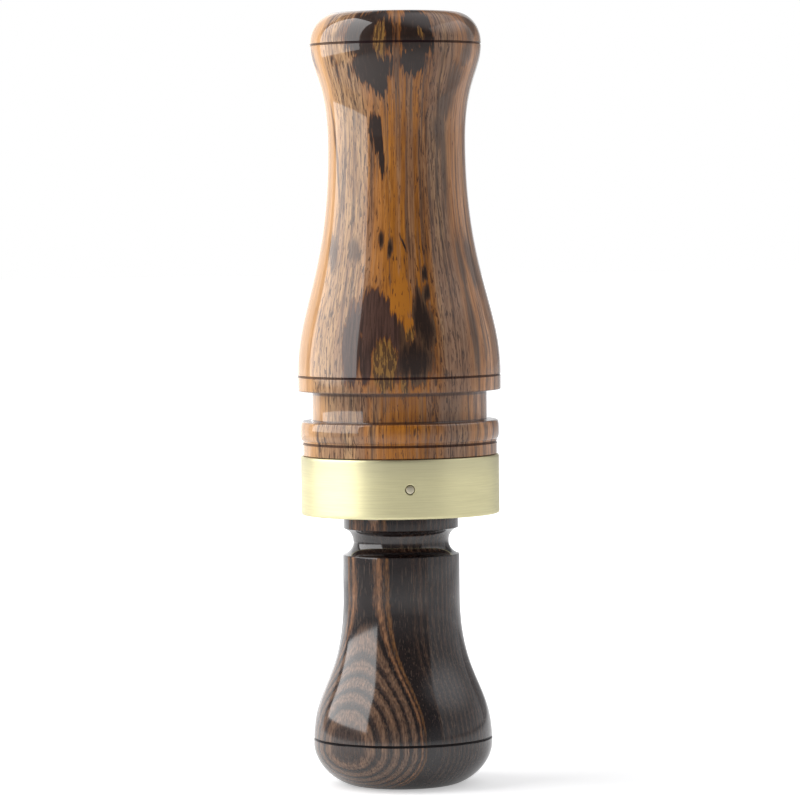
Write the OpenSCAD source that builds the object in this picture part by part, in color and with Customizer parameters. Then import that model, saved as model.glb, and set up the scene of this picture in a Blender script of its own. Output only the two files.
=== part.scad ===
// Turned wooden double-reed duck call, standing on its bell with the mouthpiece up.
// A barrel with a pinned brass band slides over the insert, which carries the
// tone board, two reeds and the cork that wedges them. All sizes are millimetres.
// The z axis is the axis of the call, and the reeds and the band pin face -y.

/* [Barrel] */
// Length of the barrel, from its open end to the mouthpiece lip
barrel_len = 87.95; // [84:0.05:96]
// Diameter of the bore through the barrel
bore_d = 15.875; // [15.7:0.025:16.2]
// Greatest diameter of the mouthpiece lip
lip_d = 30.14; // [28:0.1:32]
// Diameter of the ring where the lip is highest
lip_crest_d = 20.8; // [19.5:0.1:23]
// Height of the rounding outside the lip's crest
lip_h = 5.4; // [4:0.1:7]
// Depth of the rounding that leads from the crest into the bore
lip_dish_h = 3; // [2:0.1:4]
// Diameter of the waist below the lip
waist_d = 24.24; // [22:0.1:27]
// Distance from the top of the lip down to the waist
waist_drop = 23; // [19:0.1:28]
// Diameter of the skirt, the widest part of the barrel
skirt_d = 35.86; // [34:0.1:38]
// Height of the straight part of the skirt
skirt_h = 2.9; // [2.5:0.1:5]
// Diameter of the lanyard groove's floor
groove_d = 30.9; // [28:0.1:32]
// Width of the lanyard groove
groove_w = 5.25; // [4:0.05:6.5]
// Diameter of the bead between the groove and the band
bead_d = 35.14; // [34:0.02:36]
// Height of the bead
bead_h = 3.35; // [2.6:0.05:4.5]
// Diameter of the collar between the bead and the band
collar_d = 34.34; // [33.6:0.1:35]
// Height of the collar
collar_h = 2.8; // [2:0.05:4]

/* [Score lines] */
// Width of each burned score line
score_w = 0.6; // [0.4:0.05:0.8]
// Depth of each burned score line
score_depth = 0.3; // [0.2:0.05:0.5]
// Distance from the lip's widest ring down to its score line
lip_score_drop = 0.2; // [0:0.1:1]
// Distance from the top of the skirt's lower edge up to its score line
skirt_score_h = 2.65; // [1.5:0.05:3]
// Distance from the top of the band up to the collar's score line
collar_score_h = 2.25; // [1.2:0.05:2.5]
// Distance from the insert's base up to its score line
bell_score_h = 8.3; // [6.5:0.1:9]

/* [Band] */
// Outer diameter of the brass band
band_d = 34.9; // [34.4:0.1:36]
// Wall of the brass band
band_t = 1.2; // [0.8:0.1:1.6]
// Height of the brass band
band_h = 10.3; // [8:0.1:12]
// Bevel on the band's two outer edges
band_bevel = 0.25; // [0.1:0.05:0.4]
// Diameter of the pin that locks the band
pin_d = 1.5; // [1.2:0.1:1.8]
// Length of the band pin
pin_len = 4.2; // [3:0.1:5]
// How far the pin's head lies below the band's surface
pin_recess = 0.12; // [0.05:0.01:0.3]

/* [Insert] */
// Length of the insert from its base to the shoulder that meets the barrel
bell_len = 47.85; // [45:0.05:55]
// Diameter of the ring under the shoulder
neck_d = 20.24; // [19:0.1:22]
// Height of the ring under the shoulder
neck_h = 2.5; // [2:0.1:4]
// Width of the cove turned below the ring
cove_w = 4.6; // [4:0.1:6]
// Depth of the cove
cove_depth = 1.7; // [1:0.1:2.2]
// Diameter of the straight shank below the cove
shank_d = 20.6; // [19.5:0.1:22.5]
// Length of the straight shank
shank_h = 7.3; // [6:0.1:10]
// Greatest diameter of the bell
bell_d = 31.52; // [29:0.1:34]
// Height of the bell's widest ring above the base
bell_rim_h = 7.4; // [7:0.1:9]
// Outer diameter of the flat foot that the call stands on
foot_d = 16.8; // [16:0.1:20]
// Diameter of the exhaust bore in the bell
exhaust_d = 12.7; // [11.5:0.1:14]
// Depth of the straight part of the exhaust bore
exhaust_depth = 22; // [18:0.5:24]
// Round-over at the mouth of the exhaust bore
exhaust_round = 0.8; // [0.4:0.1:1.2]
// Length of the taper from the exhaust bore to the sound channel
throat_h = 4.5; // [3:0.1:6]
// Diameter of the sound channel through the insert
channel_d = 6.35; // [5.6:0.05:7]
// Length of the tenon that fits inside the barrel
tenon_len = 17; // [16:0.5:20]
// Bevel on the tenon's end and the bore's entrance
edge_bevel = 0.4; // [0.2:0.05:0.6]

/* [O-rings] */
// Diameter of an O-ring's section
ring_t = 1.5; // [1.3:0.05:1.6]
// Height of the lower O-ring above the shoulder
ring_rise = 5; // [4:0.1:5.5]
// Distance between the two O-rings
ring_pitch = 7; // [5:0.1:8]

/* [Tone board] */
// Diameter of the stem pressed into the insert
stem_d = 9.6; // [9:0.1:9.9]
// Length of the stem
stem_len = 16; // [12:0.5:17]
// Length of the tone board, from the tenon's end to its tip
tone_len = 51; // [49:0.5:54]
// Diameter of the round back of the tone board
tone_d = 15.4; // [15:0.05:15.5]
// Height of the flat reed bed in front of the axis
face_rise = 3; // [2.8:0.05:3.3]
// How far the face falls away from the reed at the tip
face_drop = 1.4; // [1:0.05:1.8]
// Length of the solid collar behind the reed's butt end
butt_h = 2.2; // [1.6:0.1:3]
// Length of the flat reed bed under the cork
bed_len = 8.8; // [7:0.1:10]
// How far the notch's rear wall leans over the bed
notch_lean = 3; // [2:0.1:4]
// Radius of the tone board's tip corners
tip_round = 3; // [1.5:0.1:4]
// Diameter of the sound bore in the stem and under the bed
sound_d = 5; // [4.4:0.05:5.2]
// Distance of the sound bore's axis behind the call's axis
sound_offset = 0.4; // [0.3:0.05:0.6]
// Distance from the bed's front edge to the open trough
trough_start = 1.4; // [1:0.1:3]
// Width of the open trough at its deep end
trough_w = 5.4; // [5:0.1:6]
// Width of the open trough near the tip
trough_tip_w = 4.2; // [3.6:0.1:4.8]
// Distance from the end of the trough to the tone board's tip
trough_end = 5.5; // [4.5:0.1:7]
// How much deeper than the sound bore the trough is at its deep end
trough_step = 0.2; // [0.1:0.05:0.6]
// Depth of the trough at its shallow end
trough_tip_depth = 2; // [1.6:0.1:3]

/* [Reeds and cork] */
// Width of both reeds
reed_w = 12.4; // [11.6:0.1:12.6]
// Thickness of each reed
reed_t = 0.25; // [0.2:0.01:0.3]
// Distance from the lower reed's end to the tone board's tip
lower_reed_set = 0.6; // [0.3:0.1:1.5]
// Distance from the upper reed's end to the tone board's tip
upper_reed_set = 4.2; // [3:0.1:6]
// Clipped corner of each reed
reed_clip = 2.2; // [1.5:0.1:3]
// Space between the two reeds
reed_gap = 0.1; // [0.06:0.01:0.15]
// Radius of the ball that forms the upper reed's dimple
dimple_ball = 1.2; // [0.8:0.1:1.6]
// Depth of the dimple
dimple_depth = 0.08; // [0.04:0.01:0.08]
// Distance from the upper reed's end to its dimple
dimple_set = 4.5; // [3.5:0.1:7]
// How far the cork's front face leans back at the top
cork_lean = 1; // [0.5:0.1:1.5]

/* [Fits] */
// Radial gap between the tenon and the bore
tenon_clear = 0.0875; // [0.05:0.0125:0.1]
// Radial gap between an O-ring and the bore, and an O-ring and its groove
ring_clear = 0.03; // [0.02:0.005:0.04]
// Gap at faces that seat on each other
seat_clear = 0.03; // [0.02:0.005:0.05]
// Radial gap around the stem and around the band pin
glue_clear = 0.02; // [0.01:0.005:0.03]

/* [Hidden] */
$fn = 96;

// Pull of each turned curve towards its two ends, as shares of the curve's length
skirt_shares = [0.3, 0.56];
waist_shares = [0.64, 0.3];
bell_shares = [0.41, 0.58];
// Pull of the bell's lower edge, as shares of its height and of its width
base_shares = [0.54, 0.4];
curve_steps = 20;
edge_steps = 10;
cut_over = band_h; // overrun of cuts past the surface

// Heights up the call
shoulder_z = bell_len;
tenon_z = shoulder_z + tenon_len;
tip_z = tenon_z + tone_len;
barrel_z = shoulder_z + seat_clear;
band_top_z = barrel_z + band_h;
collar_top_z = band_top_z + collar_h;
bead_top_z = collar_top_z + bead_h;
groove_top_z = bead_top_z + groove_w;
skirt_top_z = groove_top_z + skirt_h;
lip_top_z = barrel_z + barrel_len;
waist_z = lip_top_z - waist_drop;
lip_z = lip_top_z - lip_h;

// Radii
bore_r = bore_d / 2;
crest_r = lip_crest_d / 2;
collar_r = collar_d / 2;
tenon_r = bore_r - tenon_clear;
ring_out_r = bore_r - ring_clear;
ring_seat_r = ring_out_r - ring_t - ring_clear;
ring_slot_h = ring_t + 2 * ring_clear;
stem_r = stem_d / 2;
socket_r = stem_r + glue_clear;
exhaust_r = exhaust_d / 2;
channel_r = channel_d / 2;
band_in_r = band_d / 2 - band_t;
band_seat_r = band_in_r - glue_clear;
pin_hole_r = pin_d / 2 + glue_clear;
tone_r = tone_d / 2;
sound_r = sound_d / 2;

// Distances in front of the axis of the band pin's ends
pin_out_f = band_d / 2 - pin_recess;
pin_in_f = pin_out_f - pin_len;

// Distances in front of the axis, and heights, of the reed stack
bed_z = tenon_z + butt_h;
bed_front_z = bed_z + bed_len;
lower_reed_f = face_rise + seat_clear;
upper_reed_f = lower_reed_f + reed_t + reed_gap;
cork_f = upper_reed_f + reed_t + seat_clear;
notch_slope = notch_lean / (tone_r - face_rise);
trough_z = bed_front_z + trough_start;
trough_tip_z = tip_z - trough_end;
trough_floor_f = -sound_offset - sound_r - trough_step;

// Points of a curve that leaves and arrives along z, from [r0, z0] to [r1, z1]
function turned_curve(r0, z0, r1, z1, shares, steps) =
    let (run = z1 - z0, za = z0 + run * shares[0], zb = z1 - run * shares[1])
    [for (i = [0:steps]) let (t = i / steps, u = 1 - t)
        [u * u * (u + 3 * t) * r0 + t * t * (t + 3 * u) * r1,
         u * u * u * z0 + 3 * u * u * t * za + 3 * u * t * t * zb + t * t * t * z1]];

// Points of part of an oval with half axes a and b, between two angles
function oval(r, z, a, b, from, to, steps) =
    [for (i = [0:steps]) let (angle = from + (to - from) * i / steps)
        [r + a * cos(angle), z + b * sin(angle)]];

// Points of the bell's lower edge, from the foot out to the widest ring
function base_edge(foot_r, rim_r, rim_z, steps) =
    let (rb = foot_r + (rim_r - foot_r) * base_shares[1], zb = rim_z * (1 - base_shares[0]))
    [for (i = [0:steps]) let (t = i / steps, u = 1 - t)
        [u * u * u * foot_r + 3 * u * u * t * rb + 3 * u * t * t * rim_r + t * t * t * rim_r,
         3 * u * t * t * zb + t * t * t * rim_z]];

// Ring cut with a V-shaped section, score_w wide at the radius r
module score_line(r, z) {
    rotate_extrude()
        polygon([[r - score_depth, z], [r + score_depth, z - score_w], [r + score_depth, z + score_w]]);
}

// Square-edged ring between two radii and two heights
module ring_cut(r_in, r_out, z, h) {
    translate([0, 0, z]) rotate_extrude() translate([r_in, 0]) square([r_out - r_in, h]);
}

// Solid with a side outline of [distance in front of the axis, height] points
module side_slab(points, width) {
    rotate([90, 0, -90]) linear_extrude(height = width, center = true) polygon(points);
}

// Plate with the front outline of its children, from f forwards by thickness
module front_plate(f, thickness) {
    translate([0, -f, 0]) rotate([90, 0, 0]) linear_extrude(height = thickness) children();
}

// Round bar along the call's axis
module bar(r, z0, z1) {
    translate([0, 0, z0]) cylinder(r = r, h = z1 - z0);
}

// The hole for the band pin, and the pin, lie along -y at half the band's height
module pin_bar(r, f0, f1) {
    translate([0, -f0, barrel_z + band_h / 2]) rotate([90, 0, 0]) cylinder(r = r, h = f1 - f0);
}

// The barrel's outside, from the band's seat up to the lip's crest
function barrel_outside() = concat(
    [[band_seat_r, barrel_z], [band_seat_r, band_top_z], [collar_r, band_top_z]],
    oval(collar_r, collar_top_z + bead_h / 2, bead_d / 2 - collar_r, bead_h / 2, -90, 60, edge_steps),
    [[collar_r, bead_top_z], [groove_d / 2, bead_top_z], [groove_d / 2, groove_top_z],
     [skirt_d / 2 - edge_bevel / 2, groove_top_z], [skirt_d / 2, groove_top_z + edge_bevel / 2]],
    turned_curve(skirt_d / 2, skirt_top_z, waist_d / 2, waist_z, skirt_shares, curve_steps),
    turned_curve(waist_d / 2, waist_z, lip_d / 2, lip_z, waist_shares, curve_steps),
    oval(crest_r, lip_z, lip_d / 2 - crest_r, lip_h, 0, 90, edge_steps));

// The barrel's inside, from the lip's crest down to the entrance for the tenon
function barrel_inside() = concat(
    oval(crest_r, lip_top_z - lip_dish_h, crest_r - bore_r, lip_dish_h, 90, 180, edge_steps),
    [[bore_r, barrel_z + edge_bevel], [bore_r + edge_bevel, barrel_z]]);

module barrel() {
    color("#a8682f") difference() {
        rotate_extrude() polygon(concat(barrel_outside(), barrel_inside()));
        score_line(lip_d / 2, lip_z - lip_score_drop);
        score_line(skirt_d / 2, groove_top_z + skirt_score_h);
        score_line(collar_r, band_top_z + collar_score_h);
        pin_bar(pin_hole_r, pin_in_f - seat_clear, pin_out_f + cut_over);
    }
}

module band() {
    color("#d9cf8e") difference() {
        translate([0, 0, barrel_z]) rotate_extrude() polygon([
            [band_in_r, 0], [band_d / 2 - band_bevel, 0], [band_d / 2, band_bevel],
            [band_d / 2, band_h - band_bevel], [band_d / 2 - band_bevel, band_h], [band_in_r, band_h]]);
        pin_bar(pin_hole_r, pin_in_f, pin_out_f + cut_over);
    }
}

module band_pin() {
    color("#b9b27c") pin_bar(pin_d / 2, pin_in_f, pin_out_f);
}

// The insert's outside, from the foot up to the tenon's end
function insert_outside() =
    let (cove_top = shoulder_z - neck_h, cove_z = cove_top - cove_w / 2, cove_low = cove_top - cove_w,
         ball = (cove_w * cove_w / 4 + cove_depth * cove_depth) / (2 * cove_depth),
         swing = asin(cove_w / 2 / ball))
    concat(
        base_edge(foot_d / 2, bell_d / 2, bell_rim_h, curve_steps),
        turned_curve(bell_d / 2, bell_rim_h, shank_d / 2, cove_low - shank_h, bell_shares, curve_steps),
        [[shank_d / 2, cove_low]],
        oval(neck_d / 2 - cove_depth + ball, cove_z, ball, ball, 180 + swing, 180 - swing, edge_steps),
        [[neck_d / 2, shoulder_z], [tenon_r, shoulder_z], [tenon_r, tenon_z - edge_bevel],
         [tenon_r - edge_bevel, tenon_z]]);

// The insert's inside, from the socket's mouth down to the exhaust bore's mouth
function insert_inside() =
    let (socket_z = tenon_z - stem_len - seat_clear, mouth = exhaust_round)
    concat(
        [[socket_r, tenon_z], [socket_r, socket_z], [channel_r, socket_z],
         [channel_r, exhaust_depth + throat_h], [exhaust_r, exhaust_depth]],
        oval(exhaust_r + mouth, mouth, mouth, mouth, 180, 270, edge_steps));

module insert() {
    color("#4a3426") difference() {
        rotate_extrude() polygon(concat(insert_outside(), insert_inside()));
        for (i = [0, 1])
            ring_cut(ring_seat_r, tenon_r + cut_over, ring_z(i) - ring_slot_h / 2, ring_slot_h);
        score_line(bell_d / 2, bell_score_h);
    }
}

// Height of an O-ring's centre
function ring_z(i) = shoulder_z + ring_rise + i * ring_pitch;

module o_ring(i) {
    color("#1c1c1e") translate([0, 0, ring_z(i)])
        rotate_extrude() translate([ring_out_r - ring_t / 2, 0]) circle(d = ring_t);
}

module lower_o_ring() {
    o_ring(0);
}

module upper_o_ring() {
    o_ring(1);
}

// Height of the face above the axis at the share t of its way from the bed to the tip
function face_f(t) = face_rise - face_drop * t * t;

// Side outline of the tone board's head: the notch under its overhang, the bed and the falling face
module head_profile() {
    side_slab(concat(
        [[-tone_r - cut_over, tenon_z], [tone_r + cut_over, tenon_z],
         [tone_r + cut_over, bed_z + (tone_r + cut_over - face_rise) * notch_slope], [face_rise, bed_z]],
        [for (i = [0:curve_steps]) let (t = i / curve_steps)
            [face_f(t), bed_front_z + (tip_z - bed_front_z) * t]],
        [[-tone_r - cut_over, tip_z]]), tone_d);
}

// Front outline of the head, with its two rounded tip corners
module head_outline() {
    square_top = tip_z - tip_round;
    translate([-tone_r, tenon_z]) square([tone_d, square_top - tenon_z]);
    translate([tip_round - tone_r, square_top - tip_round]) square([tone_d - 2 * tip_round, 2 * tip_round]);
    for (side = [-1, 1]) translate([side * (tone_r - tip_round), square_top]) circle(r = tip_round);
}

// Open trough: round ends joined by straight walls, with a floor that rises to the tip
module trough() {
    r0 = trough_w / 2;
    r1 = trough_tip_w / 2;
    z0 = trough_z + r0;
    z1 = trough_tip_z - r1;
    lean = asin((r0 - r1) / (z1 - z0));
    tip_floor_f = face_f(1) - trough_tip_depth;
    intersection() {
        front_plate(trough_floor_f, face_rise - trough_floor_f + cut_over) {
            translate([0, z0]) circle(r = r0);
            translate([0, z1]) circle(r = r1);
            polygon([[r0 * cos(lean), z0 + r0 * sin(lean)], [r1 * cos(lean), z1 + r1 * sin(lean)],
                     [-r1 * cos(lean), z1 + r1 * sin(lean)], [-r0 * cos(lean), z0 + r0 * sin(lean)]]);
        }
        side_slab([[trough_floor_f, trough_z], [trough_floor_f, z0], [tip_floor_f, trough_tip_z],
                   [face_rise + cut_over, trough_tip_z], [face_rise + cut_over, trough_z]], trough_w);
    }
}

module tone_board() {
    color("#26262a") difference() {
        union() {
            bar(stem_r, tenon_z - stem_len, tenon_z);
            intersection() {
                bar(tone_r, tenon_z, tip_z);
                head_profile();
                front_plate(-tone_r, tone_d) head_outline();
            }
        }
        translate([0, sound_offset, 0]) bar(sound_r, tenon_z - stem_len - cut_over, trough_z + trough_w / 2);
        trough();
    }
}

// Front outline of a reed between two heights, with clipped corners at the tip
module reed_outline(z0, z1) {
    w = reed_w / 2;
    polygon([[-w, z0], [w, z0], [w, z1 - reed_clip], [w - reed_clip, z1],
             [reed_clip - w, z1], [-w, z1 - reed_clip]]);
}

// Height of the notch's rear wall at the distance f in front of the axis, with its gap
function notch_z(f) = bed_z + (f - face_rise) * notch_slope + seat_clear;

module lower_reed() {
    color("#d8dcd4")
        front_plate(lower_reed_f, reed_t)
            reed_outline(notch_z(lower_reed_f + reed_t), tip_z - lower_reed_set);
}

module upper_reed() {
    end_z = tip_z - upper_reed_set;
    ball_f = upper_reed_f - dimple_depth + dimple_ball;
    color("#e4e6df") difference() {
        union() {
            front_plate(upper_reed_f, reed_t) reed_outline(notch_z(upper_reed_f + reed_t), end_z);
            intersection() {
                translate([0, -ball_f, end_z - dimple_set]) sphere(r = dimple_ball);
                front_plate(upper_reed_f - dimple_depth, reed_t) reed_outline(bed_z, end_z);
            }
        }
        translate([0, -ball_f - reed_t, end_z - dimple_set]) sphere(r = dimple_ball);
    }
}

module reed_wedge() {
    color("#b98d5c") intersection() {
        bar(tone_r - seat_clear, bed_z, bed_front_z);
        side_slab([[cork_f, notch_z(cork_f)], [tone_r, notch_z(tone_r)],
                   [tone_r, bed_front_z - cork_lean], [cork_f, bed_front_z]], tone_d);
    }
}

insert();
tone_board();
lower_reed();
upper_reed();
reed_wedge();
lower_o_ring();
upper_o_ring();
barrel();
band();
band_pin();
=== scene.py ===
import math

import bpy
import numpy
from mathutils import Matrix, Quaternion, Vector


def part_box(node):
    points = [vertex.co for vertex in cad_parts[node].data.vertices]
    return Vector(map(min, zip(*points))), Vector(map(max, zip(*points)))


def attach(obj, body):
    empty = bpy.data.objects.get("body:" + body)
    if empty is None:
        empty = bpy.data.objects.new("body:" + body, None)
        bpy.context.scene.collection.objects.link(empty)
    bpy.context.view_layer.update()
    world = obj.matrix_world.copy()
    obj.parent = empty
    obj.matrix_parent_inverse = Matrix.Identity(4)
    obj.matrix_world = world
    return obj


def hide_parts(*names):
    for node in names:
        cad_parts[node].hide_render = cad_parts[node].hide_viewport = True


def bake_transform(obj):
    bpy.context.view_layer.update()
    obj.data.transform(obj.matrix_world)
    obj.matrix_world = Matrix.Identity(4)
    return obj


# The looks of a turned wooden duck call: figured barrel, brushed brass band, dark insert and
# the reeds and seals that the barrel hides. Lengths are millimetres until a mesh is made.
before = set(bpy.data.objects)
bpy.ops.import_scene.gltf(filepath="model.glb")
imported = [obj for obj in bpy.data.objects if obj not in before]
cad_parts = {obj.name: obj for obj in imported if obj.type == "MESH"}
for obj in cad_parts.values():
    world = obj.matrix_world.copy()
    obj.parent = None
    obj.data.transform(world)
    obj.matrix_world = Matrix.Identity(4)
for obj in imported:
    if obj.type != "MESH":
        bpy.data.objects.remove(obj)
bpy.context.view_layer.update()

MM = 0.001
WELD = 2e-6
TURNS = 168
SMOOTH_ANGLE = math.radians(28)
CURVE_STEPS = 44
EASE_STEPS = 4


def span(node, axis):
    """Lowest and highest place of a CAD node along an axis, in mm"""
    low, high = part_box(node)
    return low[axis] / MM, high[axis] / MM


# Heights and radii of the pieces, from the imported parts
BAND_LOW, BAND_TOP = span("band", 2)
BARREL_TOP = span("barrel", 2)[1]
TENON_TOP = span("insert", 2)[1]
SKIRT_R = span("barrel", 0)[1]
BAND_R = span("band", 0)[1]
BELL_R = span("insert", 0)[1]
PIN_AT = sum(span("band_pin", 2)) / 2
REED_T = span("lower_reed", 1)[1] - span("lower_reed", 1)[0]

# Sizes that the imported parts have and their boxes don't show
SEAM = 0.03
SHOULDER = round(BAND_LOW - SEAM, 3)
BORE_R = 7.9375
TENON_R = 7.85
COLLAR_TOP = BAND_TOP + 2.8
GROOVE_LOW = COLLAR_TOP + 3.35
GROOVE_TOP = GROOVE_LOW + 5.25

# Burned lines round the wood: their heights and their V-shaped cut, whose floor is flat for this
# share of its width to each side
LIP_SCORE = BARREL_TOP - 5.6
SKIRT_SCORE = GROOVE_TOP + 2.65
COLLAR_SCORE = BAND_TOP + 2.25
BELL_SCORE = 8.3
SCORE_W = 0.42
SCORE_DEPTH = 0.16
SCORE_FLOOR = 0.12

# The camera stands this far from the axis, at this height, and a little to the left of the pin
CAMERA_FAR = 745
CAMERA_HEIGHT = 100.9
CAMERA_AIM = 67.8
CAMERA_SIDE = math.radians(-5.6)
CAMERA_ROLL = math.radians(0.68)
CAMERA_LENS = 190.5
CAMERA_SENSOR = 36
CAMERA_SHIFT = 0.0009


# Meshes

def begin(name):
    """Names the new primitive, puts its place into its mesh and opens it, all selected"""
    piece = bpy.context.object
    piece.name = name
    piece.data.name = name
    bpy.ops.object.transform_apply(location=True, rotation=True, scale=True)
    bpy.ops.object.mode_set(mode="EDIT")
    bpy.ops.mesh.select_all(action="SELECT")
    return piece


def end(piece, smooth=SMOOTH_ANGLE):
    """Welds the mesh, turns its faces outwards and shades it"""
    bpy.ops.mesh.select_all(action="SELECT")
    bpy.ops.mesh.remove_doubles(threshold=WELD)
    bpy.ops.mesh.normals_make_consistent(inside=False)
    bpy.ops.object.mode_set(mode="OBJECT")
    bpy.ops.object.shade_smooth_by_angle(angle=smooth)
    return piece


def turned(name, outline, turns=TURNS):
    """A closed outline of (radius, height) points, turned round the call's axis"""
    bpy.ops.object.select_all(action="DESELECT")
    here = outline[0]
    bpy.ops.mesh.primitive_plane_add(size=MM, location=(here[0] * MM, 0, here[1] * MM))
    piece = begin(name)
    bpy.ops.mesh.merge(type="CENTER")
    for there in outline[1:] + outline[:1]:
        step = ((there[0] - here[0]) * MM, 0, (there[1] - here[1]) * MM)
        bpy.ops.mesh.extrude_region_move(TRANSFORM_OT_translate={"value": step})
        here = there
    bpy.ops.mesh.select_all(action="SELECT")
    bpy.ops.mesh.spin(steps=turns, angle=2 * math.pi, center=(0, 0, 0), axis=(0, 0, 1))
    return end(piece)


def bezier(points, steps=CURVE_STEPS):
    """Points along the curve that four points give"""
    along = []
    for i in range(steps + 1):
        part = i / steps
        rest = 1 - part
        weights = rest ** 3, 3 * rest ** 2 * part, 3 * rest * part ** 2, part ** 3
        along.append(tuple(sum(w * point[k] for w, point in zip(weights, points)) for k in (0, 1)))
    return along


def curve(start, stop, leave, arrive, steps=CURVE_STEPS):
    """Points of a curve that leaves and arrives along z, pulled straight by two shares of its rise"""
    rise = stop[1] - start[1]
    straight = (start[0], start[1] + rise * leave), (stop[0], stop[1] - rise * arrive)
    return bezier([start, *straight, stop], steps)


def oval(r, z, half_r, half_z, start, stop, steps=16):
    """Points of part of an oval round (r, z), between two angles in degrees"""
    angles = [math.radians(start + (stop - start) * i / steps) for i in range(steps + 1)]
    return [(r + half_r * math.cos(angle), z + half_z * math.sin(angle)) for angle in angles]


def eased(points):
    """The outline, with each corner given as (radius, height, ease) made a short round"""
    outline = []
    for i, point in enumerate(points):
        if len(point) == 2:
            outline.append(point)
            continue
        corner, ease = Vector(point[:2]), point[2]
        before = Vector(points[i - 1][:2])
        after = Vector(points[(i + 1) % len(points)][:2])
        first = corner + (before - corner).normalized() * ease
        last = corner + (after - corner).normalized() * ease
        for k in range(EASE_STEPS + 1):
            part = k / EASE_STEPS
            rest = 1 - part
            outline.append(tuple(first * rest ** 2 + corner * 2 * part * rest + last * part ** 2))
    return outline


def scored(points, height):
    """The outline with a V-shaped line cut into its outside at a height"""
    low, high = height - SCORE_W / 2, height + SCORE_W / 2

    def crossing(level):
        for i, (under, over) in enumerate(zip(points, points[1:])):
            if under[1] < level <= over[1]:
                return i, under[0] + (over[0] - under[0]) * (level - under[1]) / (over[1] - under[1])

    (first, low_r), (last, high_r) = crossing(low), crossing(high)
    floor_r = (low_r + high_r) / 2 - SCORE_DEPTH
    flat = SCORE_W * SCORE_FLOOR
    notch = [(low_r, low), (floor_r, height - flat), (floor_r, height + flat), (high_r, high)]
    return points[:first + 1] + notch + points[last + 1:]


# Turned pieces

def make_barrel():
    """From the band's seat up over collar, bead, groove, skirt, waist and lip, and down the bore"""
    seat_r, collar_r, bead_r, groove_r = 16.23, 17.17, 17.57, 15.45
    waist_r, lip_r, crest_r = 12.12, 15.07, 10.4
    seat_top, collar_low, collar_flat = BAND_TOP - 0.02, BAND_TOP + 0.22, COLLAR_SCORE - 0.7
    skirt_flat, skirt_top = GROOVE_TOP + 1.2, GROOVE_TOP + 2.9
    waist, lip = BARREL_TOP - 23, BARREL_TOP - 5.4
    bead_middle, bead_half = (COLLAR_TOP + GROOVE_LOW) / 2, (GROOVE_LOW - COLLAR_TOP) / 2
    collar_bevel, bead_lean, bore_bevel, dish = 0.25, 0.02, 0.4, 3
    outline = eased(
        [(seat_r, BAND_LOW), (seat_r, seat_top), (collar_r - collar_bevel, seat_top),
         (collar_r, collar_low), (collar_r, collar_flat)]
        + oval(collar_r, bead_middle, bead_r - collar_r, bead_half, -90, 62)
        + [(collar_r - bead_lean, GROOVE_LOW, 0.2), (groove_r, GROOVE_LOW, 0.25),
           (groove_r, GROOVE_TOP, 0.2), (SKIRT_R, GROOVE_TOP, 0.3), (SKIRT_R, skirt_flat)]
        + curve((SKIRT_R, skirt_top), (waist_r, waist), 0.3, 0.56, CURVE_STEPS * 2)
        + curve((waist_r, waist), (lip_r, lip), 0.64, 0.3)[1:]
        + oval(crest_r, lip, lip_r - crest_r, BARREL_TOP - lip, 0, 90, 28)[1:]
        + oval(crest_r, BARREL_TOP - dish, crest_r - BORE_R, dish, 90, 180)[1:]
        + [(BORE_R, BAND_LOW + bore_bevel), (BORE_R + bore_bevel, BAND_LOW)])
    for height in (COLLAR_SCORE, SKIRT_SCORE, LIP_SCORE):
        outline = scored(outline, height)
    return turned("barrel_wood", outline, TURNS * 2)


def make_insert():
    """From the foot up over bell, shank, cove, ring and tenon, and down the socket and the bores"""
    foot_r, rim, mouth, exhaust_r, exhaust_top = 8.4, 7.4, 0.8, 6.35, 22
    shank_r, shank_h, cove_depth, cove_h, ring_r, ring_h = 10.3, 7.3, 1.7, 4.6, 10.12, 2.5
    slot_r, tenon_bevel, socket_r, socket_depth = 6.38, 0.4, 4.82, 16.03
    channel_r, channel_low = 3.175, 26.5
    foot_pull, rim_pull = 0.4, 0.54
    cove_top = SHOULDER - ring_h
    cove_low = cove_top - cove_h
    shank_low = cove_low - shank_h
    socket_low = TENON_TOP - socket_depth
    ball = (cove_h ** 2 / 4 + cove_depth ** 2) / (2 * cove_depth)
    swing = math.degrees(math.asin(cove_h / 2 / ball))
    foot = bezier([(foot_r, 0), (foot_r + (BELL_R - foot_r) * foot_pull, 0),
                   (BELL_R, rim * (1 - rim_pull)), (BELL_R, rim)])
    slots = []
    for node in ("lower_o_ring", "upper_o_ring"):
        low, high = span(node, 2)
        slots += [(TENON_R, low - SEAM, 0.1), (slot_r, low - SEAM, 0.1), (slot_r, high + SEAM, 0.1),
                  (TENON_R, high + SEAM, 0.1)]
    outline = eased(
        foot + curve((BELL_R, rim), (shank_r, shank_low), 0.41, 0.58)[1:]
        + [(shank_r, cove_low - 0.3), (shank_r - 0.03, cove_low - 0.06), (shank_r - 0.16, cove_low)]
        + oval(ring_r - cove_depth + ball, (cove_top + cove_low) / 2, ball, ball,
               180 + swing * 0.95, 180 - swing)
        + [(ring_r, cove_top + 0.2), (ring_r, SHOULDER, 0.15), (TENON_R, SHOULDER, 0.1)] + slots
        + [(TENON_R, TENON_TOP - tenon_bevel), (TENON_R - tenon_bevel, TENON_TOP),
           (socket_r, TENON_TOP, 0.1), (socket_r, socket_low), (channel_r, socket_low),
           (channel_r, channel_low), (exhaust_r, exhaust_top)]
        + oval(exhaust_r + mouth, mouth, mouth, mouth, 180, 270))
    return turned("insert_wood", scored(outline, BELL_SCORE))


def make_o_ring(node, name):
    low, high = span(node, 2)
    half = (high - low) / 2
    sides = 24
    around = oval(span(node, 0)[1] - half, (low + high) / 2, half, half, 0, 360 - 360 / sides, sides - 1)
    return turned(name, around, 96)


# Band and pin

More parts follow.
